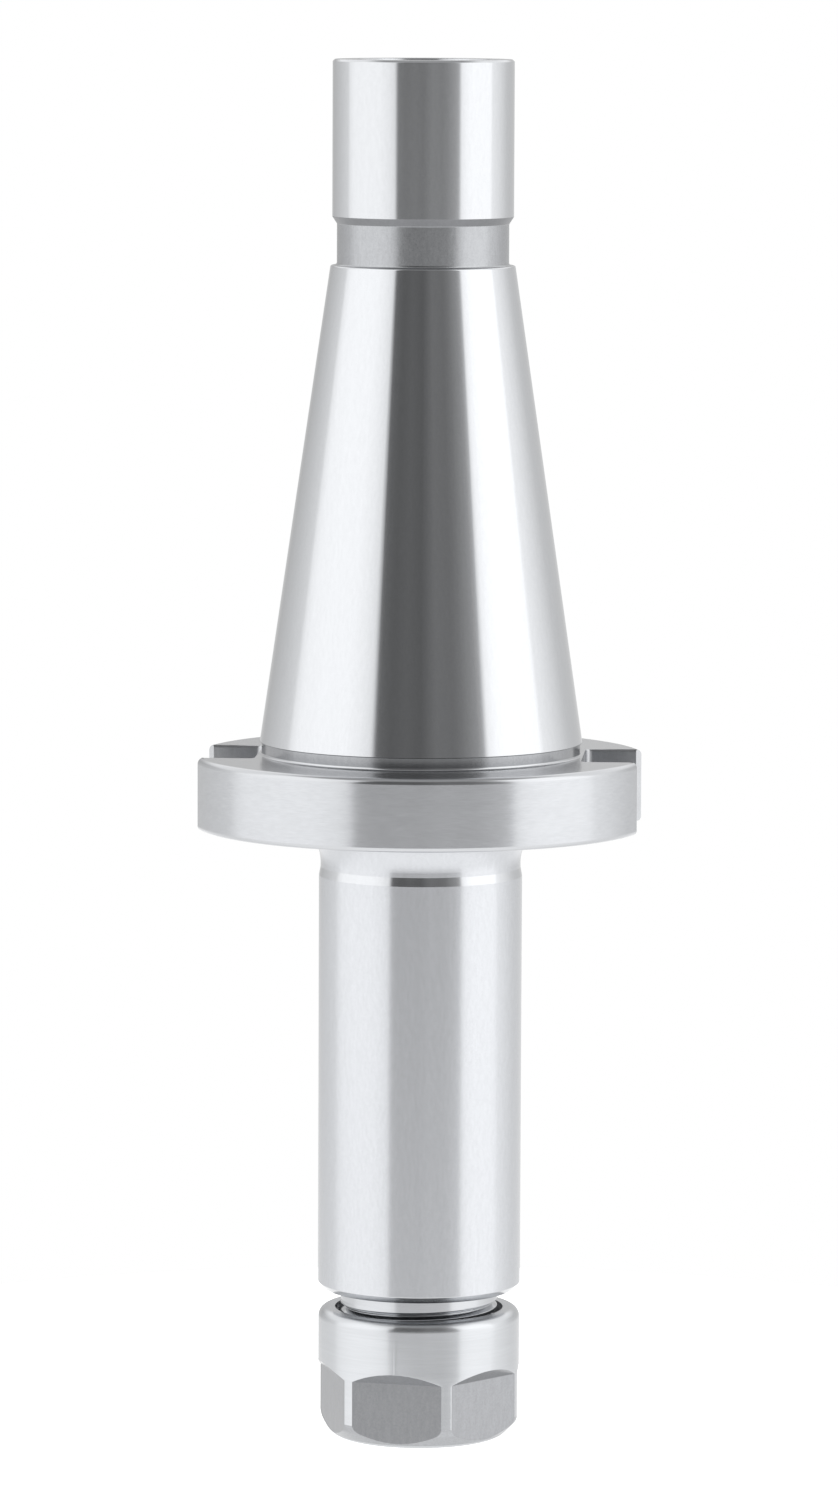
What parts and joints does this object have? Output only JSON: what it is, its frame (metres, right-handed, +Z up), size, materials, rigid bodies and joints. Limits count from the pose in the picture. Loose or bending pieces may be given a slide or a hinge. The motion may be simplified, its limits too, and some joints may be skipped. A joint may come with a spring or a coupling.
{
  "type": "collet chuck holder",
  "caption": "Milling collet chuck with a steep-taper shank, slotted flange, long slim nose, hexagonal clamping nut and spring collet.",
  "frame": {"origin": "on the holder's axis at the clamping nut's front face, which it stands on", "axes": "+Z up the holder's axis to the drawbar end, +X through one driving slot in the flange"},
  "size_m": [0.0606, 0.063, 0.1914],
  "materials": {
    "holder_steel": "case-hardened steel, ground bright on the taper and pilot, finely turned elsewhere",
    "nut_steel": "finely turned steel with milled flats",
    "collet_steel": "ground spring steel"
  },
  "bodies": {
    "holder": {"holder_body": "holder_steel"},
    "collet": {"collet": "collet_steel"},
    "nut": {"collet_nut": "nut_steel"}
  },
  "joints": [
    {"name": "collet_slide", "type": "slide", "parent": "holder", "child": "collet", "axis": [0, 0, -1], "range_m": [0, 0.00675]},
    {"name": "nut_turn", "type": "hinge", "parent": "collet", "child": "nut", "pos_m": [0, 0, 0], "axis": [0, 0, -1], "range_deg": [0, 1620]}
  ],
  "couplings": [
    {"joint": "collet_slide", "follows": "nut_turn", "m_per_rad": 0.00023873}
  ]
}
